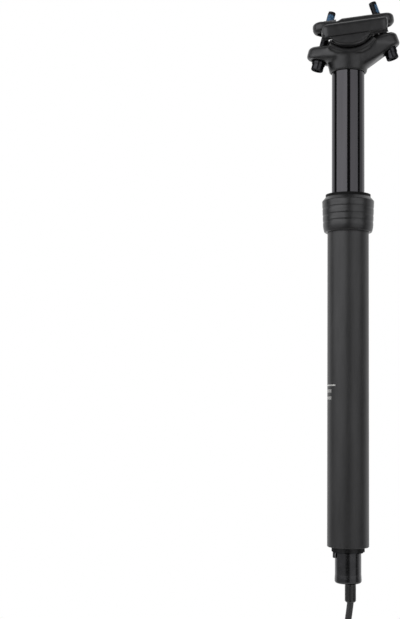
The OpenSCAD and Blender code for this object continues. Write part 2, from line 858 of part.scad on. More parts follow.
module floating_seal() {
    color(rubber) translate([0, 0, float_z + float_h / 2])
        seal_ring(cartridge_in_r - run_gap - seal_d / 2, seal_d - seal_squeeze);
}

// Saddle clamp

module rail_ways(length) {
    for (s = [-1, 1]) translate([setback, s * half_rail, -rail_drop]) rotate([0, 90, 0])
        cylinder(d = rail_d, h = length, center = true);
}

module lower_cradle() {
    top = -rail_drop - split_gap / 2;
    far = 2 * cradle_r;
    color(anodised) in_clamp() difference() {
        intersection() {
            union() {
                rotate([90, 0, 0]) cylinder(r = cradle_r, h = 2 * flange_in, center = true, $fn = 128);
                for (s = [-1, 1]) translate([flange_at[0], s * (flange_in + grip_outer) / 2, flange_at[1]])
                    rotate([90, 0, 0]) cradle_flange(grip_outer - flange_in);
            }
            translate([-cradle_len / 2, -grip_outer - 1, -far])
                cube([cradle_len, 2 * grip_outer + 2, far + top]);
        }
        rail_ways(2 * grip_len);
        translate([-cradle_len / 2 - 1, -relief_half, top - relief_deep])
            cube([cradle_len + 2, 2 * relief_half, relief_deep + 1]);
    }
}

// Flange at each side of the cradle, under the rail, with bevelled edges
module cradle_flange(width) {
    in_r = flange_size - cradle_bevel;
    rotate_extrude($fn = 128) polygon([
        [0, -width / 2], [in_r, -width / 2], [flange_size, -width / 2 + cradle_bevel],
        [flange_size, width / 2 - cradle_bevel], [in_r, width / 2], [0, width / 2]
    ]);
}

// Side view of a cheek, with its front upper corner rounded off
module grip_side() {
    translate([grip_nose, 0]) square([grip_len - grip_nose, grip_t]);
    square([grip_len, grip_t - grip_nose]);
    translate([grip_nose, grip_t - grip_nose]) circle(r = grip_nose, $fn = 64);
}

module upper_clamp() {
    low = -rail_drop + split_gap / 2;
    grip_top = low + grip_t;
    band = grip_outer - grip_inner;
    grip_at = setback + grip_shift;
    color(anodised) in_clamp() difference() {
        union() {
            intersection() {
                for (s = [-1, 1])
                    translate([grip_at - grip_len / 2, s * (grip_outer - band / 2), low + grip_t / 2])
                        rotate([90, 0, 90]) linear_extrude(grip_len) {
                            rounded_box([band, grip_t], grip_round);
                            translate([-band / 2, -grip_t / 2]) square([band, grip_t / 2]);
                        }
                translate([grip_at, 0, low]) linear_extrude(grip_t)
                    rounded_box([grip_len, 2 * grip_outer], grip_end);
                translate([grip_at - grip_len / 2, 0, low]) rotate([90, 0, 0])
                    linear_extrude(2 * grip_outer + 2, center = true) grip_side();
            }
            clamp_web(setback - web_front, web_front + web_rear, low + web_roof, grip_top);
            clamp_web(setback, web_rear + web_tail, low + web_roof + web_tail_rise, grip_top);
            spine();
        }
        rail_ways(2 * grip_len);
        for (n = [front_nut_at, rear_nut_at]) translate([n[0], 0, n[1]]) rotate([90, 0, 0])
            cylinder(r = nut_r + nut_seat_gap, h = nut_len + 2 * nut_room, center = true);
        bolt_slot(front_nut_at, front_lean + clamp_tilt);
        bolt_slot(rear_nut_at, rear_lean + clamp_tilt);
    }
}

// Bridge between the two cheeks, under the spine
module clamp_web(from, long, under, top) {
    reach = grip_inner + grip_round;
    shoulder = spine_low + spine_round + 1;
    translate([from, 0, 0]) rotate([90, 0, 90]) linear_extrude(long) polygon([
        [-reach, under], [-reach, top], [-spine_w / 2, shoulder], [spine_w / 2, shoulder], [reach, top],
        [reach, under]
    ]);
}

// The long bar over the clamp, round at both ends and bevelled along its edges
module spine() {
    end_x = spine_len / 2 - spine_w / 2;
    bevel_r = spine_w / 2 - spine_round;
    foot_r = spine_w / 2 - spine_under;
    translate([setback - spine_shift, 0, spine_low]) {
        for (s = [-1, 1]) translate([s * end_x, 0, 0]) rotate_extrude() polygon([
            [0, 0], [foot_r, 0], [spine_w / 2, spine_under], [spine_w / 2, spine_t - spine_round],
            [bevel_r, spine_t], [0, spine_t]
        ]);
        translate([-end_x, 0, 0]) rotate([90, 0, 90]) linear_extrude(2 * end_x) polygon([
            [-foot_r, 0], [foot_r, 0], [spine_w / 2, spine_under], [spine_w / 2, spine_t - spine_round],
            [bevel_r, spine_t], [-bevel_r, spine_t], [-spine_w / 2, spine_t - spine_round],
            [-spine_w / 2, spine_under]
        ]);
    }
}

module bolt_slot(n, lean) {
    below = nut_axis - spine_low;
    translate([n[0] - below * tan(lean) - slot_len / 2, -slot_w / 2, -rail_drop])
        cube([slot_len, slot_w, rail_drop + nut_axis - 1]);
}

module clamp_bolt() {
    color(black_steel) difference() {
        rotate_extrude() polygon([
            [0, -washer_foot - bolt_head_h], [head_r - bolt_edge, -washer_foot - bolt_head_h],
            [head_r, -washer_foot - bolt_head_h + bolt_edge], [head_r, -washer_foot],
            [bolt_d / 2, -washer_foot], [bolt_d / 2, bolt_tip - bolt_edge],
            [bolt_d / 2 - bolt_edge, bolt_tip], [0, bolt_tip]
        ]);
        translate([0, 0, -washer_foot - bolt_head_h - 1])
            cylinder(d = key_af / cos(30), h = key_deep + 1, $fn = 6);
    }
}

module ball_washer() {
    color(black_steel) difference() {
        intersection() {
            sphere(r = ball_r);
            translate([0, 0, -washer_foot]) cylinder(r = washer_r, h = 2 * ball_r);
        }
        translate([0, 0, -ball_r]) cylinder(r = bolt_d / 2 + fit_gap, h = 3 * ball_r);
    }
}

module half_nut(n, lean) {
    color(steel) in_clamp() translate([n[0], 0, n[1]]) difference() {
        intersection() {
            rotate([90, 0, 0]) cylinder(r = nut_r, h = nut_len, center = true);
            translate([-nut_d, -spine_w, -nut_d]) cube([2 * nut_d, 2 * spine_w, nut_d + nut_top]);
        }
        rotate([0, lean, 0]) cylinder(d = bolt_d + 2 * nut_play, h = 3 * nut_d, center = true);
    }
}

module front_bolt() { on_bolt(front_seat, front_lean) clamp_bolt(); }
module front_washer() { on_bolt(front_seat, front_lean) ball_washer(); }
module rear_bolt() { on_bolt(rear_seat, rear_lean) clamp_bolt(); }
module rear_washer() { on_bolt(rear_seat, rear_lean) ball_washer(); }
module front_nut() { half_nut(front_nut_at, front_lean + clamp_tilt); }
module rear_nut() { half_nut(rear_nut_at, rear_lean + clamp_tilt); }

outer_tube();
seal_collar();
wiper_seal();
collar_o_ring();
upper_bushing();
base_plug();
base_circlip();
tab_washer();
actuator_body();
lever_pin();
cable_ferrule();
cable_housing();
cable_coupling();
piston_rod();
rod_nut();
piston_head();
piston_seal();
release_lever();
release_wire();
release_plunger();
valve_rod();
plunger_spring();
stanchion();
post_head();
lower_bushing();
guide_keys();
cartridge_tube();
cartridge_gland();
gland_seal();
cartridge_cap();
cartridge_circlip();
top_out_bumper();
floating_piston();
floating_seal();
lower_cradle();
upper_clamp();
front_bolt();
front_washer();
rear_bolt();
rear_washer();
front_nut();
rear_nut();
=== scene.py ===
import math
import bpy
import bmesh
from mathutils import Matrix, Vector, noise


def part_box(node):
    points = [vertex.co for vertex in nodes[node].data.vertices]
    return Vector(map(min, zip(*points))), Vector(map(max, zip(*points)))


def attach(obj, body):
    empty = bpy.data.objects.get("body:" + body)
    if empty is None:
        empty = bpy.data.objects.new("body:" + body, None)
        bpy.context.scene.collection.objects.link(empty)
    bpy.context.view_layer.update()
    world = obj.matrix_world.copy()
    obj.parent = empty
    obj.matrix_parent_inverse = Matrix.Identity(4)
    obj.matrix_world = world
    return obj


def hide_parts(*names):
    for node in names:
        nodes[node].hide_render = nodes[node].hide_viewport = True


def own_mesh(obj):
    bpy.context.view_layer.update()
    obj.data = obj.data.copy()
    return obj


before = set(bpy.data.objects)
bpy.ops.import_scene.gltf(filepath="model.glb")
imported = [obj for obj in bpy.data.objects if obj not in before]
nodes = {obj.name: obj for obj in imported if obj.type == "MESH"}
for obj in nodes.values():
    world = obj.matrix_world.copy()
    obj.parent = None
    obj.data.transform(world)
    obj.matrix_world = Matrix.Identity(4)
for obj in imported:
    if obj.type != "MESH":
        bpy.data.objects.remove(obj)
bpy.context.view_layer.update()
scene = bpy.context.scene
scene.view_settings.view_transform = "Standard"
mm = 0.001
print("frame loaded:", len(nodes), "nodes")


def hexToLinear(code):
    # the sRGB curve, undone
    out = []
    for i in (0, 2, 4):
        c = int(code[i:i + 2], 16) / 255
        out.append(c / 12.92 if c <= 0.04045 else ((c + 0.055) / 1.055) ** 2.4)
    return (*out, 1.0)


def addNode(tree, kind, settings=None, links=None):
    # settings: attribute or socket values; links: socket -> output socket of an earlier node
    node = tree.nodes.new(kind)
    for key, value in (settings or {}).items():
        if isinstance(key, str) and hasattr(node, key):
            setattr(node, key, value)
        else:
            node.inputs[key].default_value = value
    for key, source in (links or {}).items():
        tree.links.new(source, node.inputs[key])
    return node


def addPiece(name, mesh, body, material=None):
    piece = bpy.data.objects.new(name, mesh)
    scene.collection.objects.link(piece)
    if material:
        mesh.materials.clear()
        mesh.materials.append(material)
    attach(piece, body)
    return piece


def bakedMesh(piece):
    # the evaluated shape as a plain mesh, so no modifier is left on the piece
    graph = bpy.context.evaluated_depsgraph_get()
    graph.update()
    return bpy.data.meshes.new_from_object(piece.evaluated_get(graph))


# Camera: set by where the post's axis and the eye level fall in the picture
cameraSetup = {
    "focal": 1250.0, "wide": 400, "high": 619, "axisColumn": 348.1, "eyeRow": 409.0,
    "distance": 939.0, "eyeHeight": 100.3, "azimuth": -2.0, "sensor": 36, "clipStart": 0.05,
}


def placeCamera(s):
    pitch = math.atan((s["eyeRow"] - s["high"] / 2) / s["focal"])
    swing = math.atan((s["axisColumn"] - s["wide"] / 2) / s["focal"])
    up = Vector((0, -math.sin(pitch), math.cos(pitch)))
    ahead = Vector((0, math.cos(pitch), math.sin(pitch)))
    side = Vector((1, 0, 0))
    look = math.cos(swing) * ahead - math.sin(swing) * side
    right = math.cos(swing) * side + math.sin(swing) * ahead
    turn = Matrix.Rotation(math.radians(s["azimuth"]), 3, "Z")
    right, up, look = turn @ right, turn @ up, turn @ look
    eye = turn @ Vector((0, -s["distance"] * mm, 0)) + Vector((0, 0, s["eyeHeight"] * mm))
    data = bpy.data.cameras.new("studioCamera")
    data.sensor_width = s["sensor"]
    data.lens = s["sensor"] * s["focal"] / s["high"]
    data.clip_start = s["clipStart"]
    camera = bpy.data.objects.new("studioCamera", data)
    scene.collection.objects.link(camera)
    camera.matrix_world = Matrix((
        (right.x, up.x, -look.x, eye.x),
        (right.y, up.y, -look.y, eye.y),
        (right.z, up.z, -look.z, eye.z),
        (0, 0, 0, 1),
    ))
    scene.camera = camera


placeCamera(cameraSetup)
print("camera placed")


# Finishes. Grain sizes are in millimetres; each colour is an sRGB hex value.
noiseForm = {"drift": {"Scale": 1.0, "Detail": 4.0, "Roughness": 0.6},
             "grain": {"Scale": 1.0, "Detail": 2.0, "Roughness": 0.5}, "low": 0.3, "high": 0.7}


def scaledNoise(tree, place, sizes, settings):
    # noise whose lumps have the given size along each axis
    scale = addNode(tree, "ShaderNodeMapping", {"Scale": tuple(1 / (d * mm) for d in sizes)},
                    {"Vector": place.outputs["Object"]})
    return addNode(tree, "ShaderNodeTexNoise", settings, {"Vector": scale.outputs["Vector"]})


def makeFinish(name, s):
    # colour drifts between two shades; a fine grain varies the roughness and gives the bump
    material = bpy.data.materials.new(name)
    material.use_nodes = True
    tree = material.node_tree
    shader = tree.nodes["Principled BSDF"]
    shader.inputs["Metallic"].default_value = s["metallic"]
    for key, value in s.get("shader", {}).items():
        shader.inputs[key].default_value = value
    place = addNode(tree, "ShaderNodeTexCoord")
    clouds = scaledNoise(tree, place, s["drift"], noiseForm["drift"])
    shades = addNode(tree, "ShaderNodeValToRGB", None, {"Fac": clouds.outputs["Fac"]})
    for stop, level, colour in zip(shades.color_ramp.elements, ("low", "high"), ("dark", "light")):
        stop.position = noiseForm[level]
        stop.color = hexToLinear(s[colour])
    tree.links.new(shades.outputs["Color"], shader.inputs["Base Color"])
    grit = scaledNoise(tree, place, s["grain"], noiseForm["grain"])
    low, high = s["roughness"]
    rough = addNode(tree, "ShaderNodeMapRange", {
        "From Min": noiseForm["low"], "From Max": noiseForm["high"], "To Min": low, "To Max": high},
        {"Value": grit.outputs["Fac"]})
    tree.links.new(rough.outputs["Result"], shader.inputs["Roughness"])
    bump = addNode(tree, "ShaderNodeBump", {"Strength": s["bump"], "Distance": s["bumpDepth"] * mm},
                   {"Height": grit.outputs["Fac"]})
    tree.links.new(bump.outputs["Normal"], shader.inputs["Normal"])
    return material


finishes = {
    # blasted and black anodised aluminium: a soft grey sheen, no clear reflection
    "matteAnodised": {"metallic": 1.0, "dark": "4a4a4b", "light": "545455", "roughness": (0.4, 0.48),
                      "drift": (9, 9, 60), "grain": (0.5, 0.5, 0.5), "bump": 0.12, "bumpDepth": 0.05},
    # forged, blasted and black anodised aluminium: dark grey with soft highlights on its rounded edges
    "forgedAnodised": {"metallic": 1.0, "dark": "484849", "light": "525253", "roughness": (0.36, 0.44),
                       "drift": (7, 7, 7), "grain": (0.6, 0.6, 0.6), "bump": 0.2, "bumpDepth": 0.06},
    # turned and black anodised aluminium: a satin sheen, with faint rings drawn coarser than they are
    "satinAnodised": {"metallic": 1.0, "dark": "484849", "light": "525253", "roughness": (0.32, 0.4),
                      "drift": (12, 12, 4), "grain": (6, 6, 0.35), "bump": 0.12, "bumpDepth": 0.04},
    # polished and hard anodised tube: dark mirror with faint lengthwise marks
    "polishedAnodised": {"metallic": 1.0, "dark": "4b4a4d", "light": "515053", "roughness": (0.09, 0.13),
                         "shader": {"Specular Tint": (0.8, 0.8, 0.8, 1)},
                         "drift": (3, 3, 90), "grain": (0.7, 0.7, 30), "bump": 0.05, "bumpDepth": 0.02},
    # gloss anodised aluminium: near black, with clear upright reflections
    "glossAnodised": {"metallic": 1.0, "dark": "4a4a4c", "light": "545456", "roughness": (0.2, 0.28),
                      "drift": (6, 6, 6), "grain": (4, 4, 0.4), "bump": 0.06, "bumpDepth": 0.03},
    # black anodised aluminium, painted a deeper black with painted shade, so the plug reads as the shadowed gap
    # under the tube
    "shadeDarkenedAnodised": {"metallic": 1.0, "dark": "333334", "light": "3b3b3c", "roughness": (0.3, 0.4),
                     "shader": {"Specular Tint": (0.4, 0.4, 0.4, 1)},
                     "drift": (6, 6, 6), "grain": (4, 4, 0.4), "bump": 0.06, "bumpDepth": 0.03},
    # machined bare aluminium: light silver with fine turning rings
    "machinedAluminium": {"metallic": 1.0, "dark": "bfc1c4", "light": "cfd1d3", "roughness": (0.25, 0.35),
                          "drift": (8, 8, 3), "grain": (5, 5, 0.3), "bump": 0.1, "bumpDepth": 0.03},
    # nitrile rubber, moulded: the dullest and deepest black on the post
    "nitrileRubber": {"metallic": 0.0, "dark": "0c0c0c", "light": "141414", "roughness": (0.55, 0.7),
                      "shader": {"Specular IOR Level": 0.2},
                      "drift": (3, 3, 3), "grain": (0.4, 0.4, 0.4), "bump": 0.2, "bumpDepth": 0.04},
    # blackened steel: almost black, with small sharp glints on corners and threads
    "blackOxideSteel": {"metallic": 1.0, "dark": "323235", "light": "404043", "roughness": (0.15, 0.25),
                        "shader": {"Specular Tint": (0.35, 0.35, 0.35, 1)},
                        "drift": (2.5, 2.5, 2.5), "grain": (0.4, 0.4, 0.4), "bump": 0.15, "bumpDepth": 0.04},
    # turned steel: mid grey with cross marks, lighter than the pieces round it
    "turnedSteel": {"metallic": 1.0, "dark": "84858a", "light": "a2a3a7", "roughness": (0.25, 0.38),
                    "drift": (3, 6, 3), "grain": (0.35, 6, 0.35), "bump": 0.15, "bumpDepth": 0.04},
    # ground spring steel: even light grey, softly shiny
    "groundSteel": {"metallic": 1.0, "dark": "9a9b9e", "light": "acadaf", "roughness": (0.22, 0.32),
                    "drift": (3, 3, 3), "grain": (0.4, 0.4, 2), "bump": 0.1, "bumpDepth": 0.03},
    # hard chrome: a bright mirror with hardly any marks
    "hardChrome": {"metallic": 1.0, "dark": "cfd0d3", "light": "dadbdd", "roughness": (0.05, 0.09),
                   "drift": (4, 4, 40), "grain": (0.5, 0.5, 12), "bump": 0.03, "bumpDepth": 0.02},
    # sintered bronze: warm brown, dull and finely pored
    "sinteredBronze": {"metallic": 1.0, "dark": "96713d", "light": "ad8850", "roughness": (0.35, 0.5),
                       "drift": (2, 2, 2), "grain": (0.3, 0.3, 0.3), "bump": 0.2, "bumpDepth": 0.04},
    # moulded nylon: black with a fine grain, shiny enough to show its flutes
    "mouldedNylon": {"metallic": 0.0, "dark": "19191a", "light": "222223", "roughness": (0.2, 0.3),
                     "shader": {"Specular IOR Level": 0.75},
                     "drift": (4, 4, 4), "grain": (0.45, 0.45, 0.45), "bump": 0.2, "bumpDepth": 0.05},
    # extruded plastic: smooth dark grey with one soft highlight along it
    "extrudedJacket": {"metallic": 0.0, "dark": "333335", "light": "3c3c3e", "roughness": (0.35, 0.45),
                       "drift": (2, 2, 20), "grain": (0.5, 0.5, 6), "bump": 0.1, "bumpDepth": 0.03},
    # dried blue thread-locking patch: dull, chalky and broken by the thread
    "threadLock": {"metallic": 0.0, "dark": "1c3956", "light": "6294c0", "roughness": (0.45, 0.6),
                   "drift": (1.1, 1.1, 1.1), "grain": (0.35, 0.35, 0.35), "bump": 0.3, "bumpDepth": 0.05},
    # screen printed ink: flat white, slightly uneven
    "printedInk": {"metallic": 0.0, "dark": "e4e4e1", "light": "f2f2f0", "roughness": (0.5, 0.6),
                   "drift": (1.2, 1.2, 1.2), "grain": (0.3, 0.3, 0.3), "bump": 0.1, "bumpDepth": 0.01},
}
finish = {name: makeFinish(name, settings) for name, settings in finishes.items()}

wearer = {
    "matteAnodised": ["outer_tube"],
    "forgedAnodised": ["post_head", "lower_cradle", "upper_clamp"],
    "satinAnodised": ["seal_collar"],
    "polishedAnodised": ["stanchion"],
    "glossAnodised": ["actuator_body"],
    # the base plug wears the black made deeper with painted shade, standing in for the shadow under the tube
    "shadeDarkenedAnodised": ["base_plug"],
    "machinedAluminium": ["piston_head", "release_plunger", "cartridge_tube", "cartridge_gland", "cartridge_cap",
                          "floating_piston"],
    "nitrileRubber": ["wiper_seal", "collar_o_ring", "piston_seal", "gland_seal", "floating_seal",
                      "top_out_bumper"],
    "blackOxideSteel": ["front_bolt", "rear_bolt", "front_washer", "rear_washer", "tab_washer"],
    "turnedSteel": ["front_nut", "rear_nut"],
    "groundSteel": ["base_circlip", "cartridge_circlip", "lever_pin", "rod_nut", "release_lever", "release_wire",
                    "valve_rod", "plunger_spring"],
    "hardChrome": ["piston_rod"],
    "sinteredBronze": ["upper_bushing", "lower_bushing", "guide_keys"],
    "mouldedNylon": ["cable_ferrule", "cable_coupling"],
    "extrudedJacket": ["cable_housing"],
}
for name, wearers in wearer.items():
    for node in wearers:
        data = nodes[node].data
        data.materials.clear()
        data.materials.append(finish[name])
print("finishes made:", len(finish))


# Cable housing: the same route as its solid, from the ferrule's socket down to the coupling
housing = {
    "diameter": 4.9, "mouth": -39.8, "length": 134.8, "roundness": 5,
    "route": [
        (1.5, -5, 9.4), (1.5, -5, 4), (1.4, -5, -1), (0.8, -4.9, -6), (0.1, -4.8, -11), (-0.7, -4.6, -17),
        (-1.6, -4.3, -24), (-2.4, -3.9, -31), (-3, -3.4, -39), (-3.4, -2.8, -47), (-3.7, -2.2, -56),
        (-3.9, -1.6, -65), (-4, -1, -75), (-4, -0.6, -86), (-4, -0.3, -97), (-4, -0.1, -108),
        (-4, 0, -118), (-4, 0, -125),
    ],
}


def makeHousing(s):
    points = [Vector((x * mm, y * mm, (z + s["mouth"]) * mm)) for x, y, z in s["route"]]
    curve = bpy.data.curves.new("cableHousing", "CURVE")
    curve.dimensions = "3D"
    curve.bevel_depth = s["diameter"] / 2 * mm
    curve.bevel_resolution = s["roundness"]
    curve.use_fill_caps = True
    line = curve.splines.new("POLY")
    line.points.add(len(points) - 1)
    for target, point in zip(line.points, points):
        target.co = (*point, 1)
    line.use_smooth = True
    curve.materials.append(finish["extrudedJacket"])
    cable = bpy.data.objects.new("cableHousing", curve)
    scene.collection.objects.link(cable)
    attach(cable, "outer_post")
    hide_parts("cable_housing")


makeHousing(housing)
print("cable housing laid")


# Forged pieces: their solids remade with filled roots and soft edges
forging = {
    "post_head": {"name": "forgedHead", "voxel": 0.45, "settle": 4, "fill": 1800, "polish": 60,
                  "body": "upper_post"},
    "upper_clamp": {"name": "forgedClamp", "voxel": 0.4, "even": 4, "settle": 8, "side": 1, "body": "saddle_clamp"},
    "lower_cradle": {"name": "forgedCradle", "voxel": 0.4, "even": 4, "settle": 2, "side": -1,
                     "body": "saddle_clamp"},
}
headForm = {
    "tiltHeight": 391.7, "seatRadius": 21.9, "neckHeight": 355.0, "socketHeight": 9.0, "socketMargin": 1,
    "holdNear": 0.7, "holdFar": 4.0, "boltRoom": 6.1,
}
clampForm = {
    "along": (0.992115, 0, 0.125333), "upright": (-0.125333, 0, 0.992115), "splitDrop": 14.0, "splitGap": 0.4,
    "splitNear": 0.4, "hold": 0.7, "fade": 0.8,
    "cheekFrom": 19.0, "cheekFade": 2.0, "cheekLow": -9.5, "cheekRise": 3.0, "cheekTurns": 90,
    "spineTop": 4.95, "spineHalf": 8.6, "pocketFrom": -20.5, "pocketTo": -6.8, "pocketWall": 0.8,
    "pocketDepth": 1.9, "pocketBase": 0.5,
}
boltLine = {
    "front": {"seat": (-22.3, 0, 362.7), "along": (0.2491, 0, 0.9685)},
    "rear": {"seat": (31.9, 0, 370.9), "along": (-0.3366, 0, 0.9417)},
}
smoothing = {"gentle": 0.5, "wide": 0.7, "mergeNear": 1e-6}


def mergedCopy(node):
    # a CAD mesh is loose triangles, so its copy is merged first
    mesh = nodes[node].data.copy()
    work = bmesh.new()
    work.from_mesh(mesh)
    bmesh.ops.remove_doubles(work, verts=work.verts, dist=smoothing["mergeNear"])
    work.to_mesh(mesh)
    work.free()
    return mesh


def unit(value):
    return min(max(value, 0), 1)


def headSoftness(point):
    # 0 on the machined faces, which stay true, and 1 where the forging may be filled
    x, y, z = (c / mm for c in point)
    s = headForm
    gaps = [abs(math.hypot(x, z - s["tiltHeight"]) - s["seatRadius"])]
    if z < s["neckHeight"] + s["socketHeight"] + s["socketMargin"]:
        gaps.append(abs(math.hypot(x, y) - stanchionRadius))
        gaps.append(z - s["neckHeight"])
    for line in boltLine.values():
        away = Vector((x, y, z)) - Vector(line["seat"])
        gaps.append(away.cross(Vector(line["along"])).length - s["boltRoom"])
    near = max(min(gaps), 0)
    return unit((near - s["holdNear"]) / (s["holdFar"] - s["holdNear"]))


def inClamp(point):
    # distance along the clamp and height over its rocking axis
    away = point / mm - Vector((0, 0, headForm["tiltHeight"]))
    return away.dot(Vector(clampForm["along"])), away.dot(Vector(clampForm["upright"]))


def clampSoftness(point):
    # 0 at the split between the two halves, which stays a fine line
    s = clampForm
    return unit((abs(inClamp(point)[1] + s["splitDrop"]) - s["hold"]) / s["fade"])


def cheekSoftness(point):
    # 1 on the outer upper edges of the cheeks, which are well rounded
    s = clampForm
    return (unit((abs(point.y) / mm - s["cheekFrom"]) / s["cheekFade"])
            * unit((inClamp(point)[1] - s["cheekLow"]) / s["cheekRise"]))


def trueSplit(mesh, side):
    # the two halves meet at flat machined faces
    s = clampForm
    face = side * s["splitGap"] / 2 - s["splitDrop"]
    for vertex in mesh.vertices:
        height = inClamp(vertex.co)[1]
        if side * (height - face) < s["splitNear"]:
            vertex.co += Vector(s["upright"]) * (face - height) * mm


def sinkPocket(mesh):
    # the spine's top falls away round the front nut and ends at a step
    s = clampForm
    for vertex in mesh.vertices:
        place, height = inClamp(vertex.co)
        if abs(vertex.co.y) > s["spineHalf"] * mm or height < s["pocketBase"]:
            continue
        deep = s["pocketDepth"] * unit((place - s["pocketFrom"]) / (s["pocketTo"] - s["pocketFrom"]))
        deep *= unit((s["pocketTo"] + s["pocketWall"] - place) / s["pocketWall"])
        deep *= unit((height - s["pocketBase"]) / (s["spineTop"] - s["pocketBase"]))
        vertex.co -= Vector(s["upright"]) * deep * mm


def smoothed(shape, turns, softness=None, factor=smoothing["gentle"]):
    ease = shape.modifiers.new("ease", "SMOOTH")
    ease.factor = factor
    ease.iterations = turns
    if softness:
        zone = shape.vertex_groups.new(name="soft")
        for vertex in shape.data.vertices:
            zone.add([vertex.index], softness(vertex.co), "REPLACE")
        ease.vertex_group = "soft"
    mesh = bakedMesh(shape)
    shape.modifiers.clear()
    shape.vertex_groups.clear()
    return mesh


def forge(node, s):
    shape = bpy.data.objects.new("forgeWork", mergedCopy(node))
    scene.collection.objects.link(shape)
    remake = shape.modifiers.new("remake", "REMESH")
    remake.mode = "VOXEL"
    remake.voxel_size = s["voxel"] * mm
    shape.data = bakedMesh(shape)
    shape.modifiers.clear()
    if "fill" in s:
        shape.data = smoothed(shape, s["settle"])
        start = [(vertex.co.copy(), vertex.normal.copy()) for vertex in shape.data.vertices]
        wide = smoothed(shape, s["fill"], factor=smoothing["wide"])
        # only inward corners take the wide smoothing, so the outer edges keep their place
        for (place, outward), vertex, target in zip(start, shape.data.vertices, wide.vertices):
            rise = max((target.co - place).dot(outward), 0)
            vertex.co = place + outward * rise * headSoftness(place)
        mesh = smoothed(shape, s["polish"], headSoftness)
    else:
        shape.data = smoothed(shape, s["even"])
        shape.data = smoothed(shape, s["settle"], clampSoftness)
        sinkPocket(shape.data)
        mesh = smoothed(shape, clampForm["cheekTurns"], cheekSoftness)
        trueSplit(mesh, s["side"])
    bpy.data.objects.remove(shape)
    mesh.shade_smooth()
    piece = addPiece(s["name"], mesh, s["body"], finish["forgedAnodised"])
    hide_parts(node)
    print(s["name"], "forged:", len(mesh.polygons), "faces")


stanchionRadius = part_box("stanchion")[1][0] / mm
for node, settings in forging.items():
    forge(node, settings)


# Seal collar: the solid's outline turned again round the post's axis, its outer edges and grip grooves rounded.
# The outline gives radius and height over the collar's foot.
collarForm = {
    "outer": [(17.35, 0), (18.05, 0.6), (18.75, 4.2), (19.45, 23.5), (16.85, 26.5)],
    "inner": [(16.15, 26.5), (16.15, 20.5), (13, 20.5), (13, 19), (15.15, 19), (15.15, 4.75), (16.5, 4.75),
              (16.5, 3.25), (15.15, 3.25), (15.15, 0)],
    "grooves": (7.6, 12.5, 17.9), "grooveHalf": 1.4, "grooveDepth": 0.2, "footRound": 1.2, "topRound": 0.35,
    "step": 0.15, "samples": 8, "turns": 144, "sharp": 35,
}


def collarRadius(height, s):
    # radius of the outer line before it is rounded
    for (low, start), (high, stop) in zip(s["outer"], s["outer"][1:]):
        if height <= stop:
            return low + (high - low) * (height - start) / (stop - start)
    return s["outer"][-1][0]


def collarOutline(s):
    # each point takes the mean radius of its neighbours, over a span that closes at the two ends
    top = s["outer"][-1][1]
    count = round(top / s["step"])
    samples = s["samples"]
    outline = []
    for i in range(count + 1):
        height = top * i / count
        reach = s["footRound"] if height < top / 2 else s["topRound"]
        span = min(reach, height, top - height)
        near = [collarRadius(height + span * k / samples, s) for k in range(-samples, samples + 1)]
        radius = sum(near) / len(near)
        for groove in s["grooves"]:
            away = min(abs(height - groove) / s["grooveHalf"], 1)
            radius -= s["grooveDepth"] * (1 + math.cos(math.pi * away)) / 2
        outline.append((radius, height))
    return outline + s["inner"]


def turnCollar(s):
    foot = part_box("seal_collar")[0][2]
    outline = collarOutline(s)
    points = []
    for turn in range(s["turns"]):
        angle = math.tau * turn / s["turns"]
        points += [(r * mm * math.cos(angle), r * mm * math.sin(angle), foot + z * mm) for r, z in outline]
    size = len(outline)
    faces = []
    for turn in range(s["turns"]):
        here, after = turn * size, (turn + 1) % s["turns"] * size
        for i in range(size):
            j = (i + 1) % size
            faces.append((here + i, after + i, after + j, here + j))
    mesh = bpy.data.meshes.new("turnedCollar")
    mesh.from_pydata(points, [], faces)
    mesh.shade_smooth()
    mesh.set_sharp_from_angle(angle=math.radians(s["sharp"]))
    piece = addPiece("turnedCollar", mesh, "outer_post", finish["satinAnodised"])
    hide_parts("seal_collar")
    print("collar turned:", len(mesh.polygons), "faces")


turnCollar(collarForm)


# Clamp bolts: the solid bolt with its shank cut down to the thread's root, a thread wound on it, and a
# locking patch near the end
boltForm = {
    "pitch": 1.0, "root": 2.6, "crest": 3.0, "shank": 3.0, "threadFrom": 4.0, "end": 41.0, "tipBevel": 0.7,
    "steps": 24, "ridgeSides": 6, "shankFrom": -1.5, "shankNear": 0.05, "wallSlope": 0.1,
    "patch": (31.5, 38.3), "patchSpread": 74, "patchMargin": 1, "rings": 24, "film": 0.14, "seed": 4,
    "ragged": 0.9, "raggedRise": 1.3, "raggedTurn": 14, "filmDrift": 0.5, "filmScale": 2,
}
patchFacing = {"front": -80, "rear": -8}


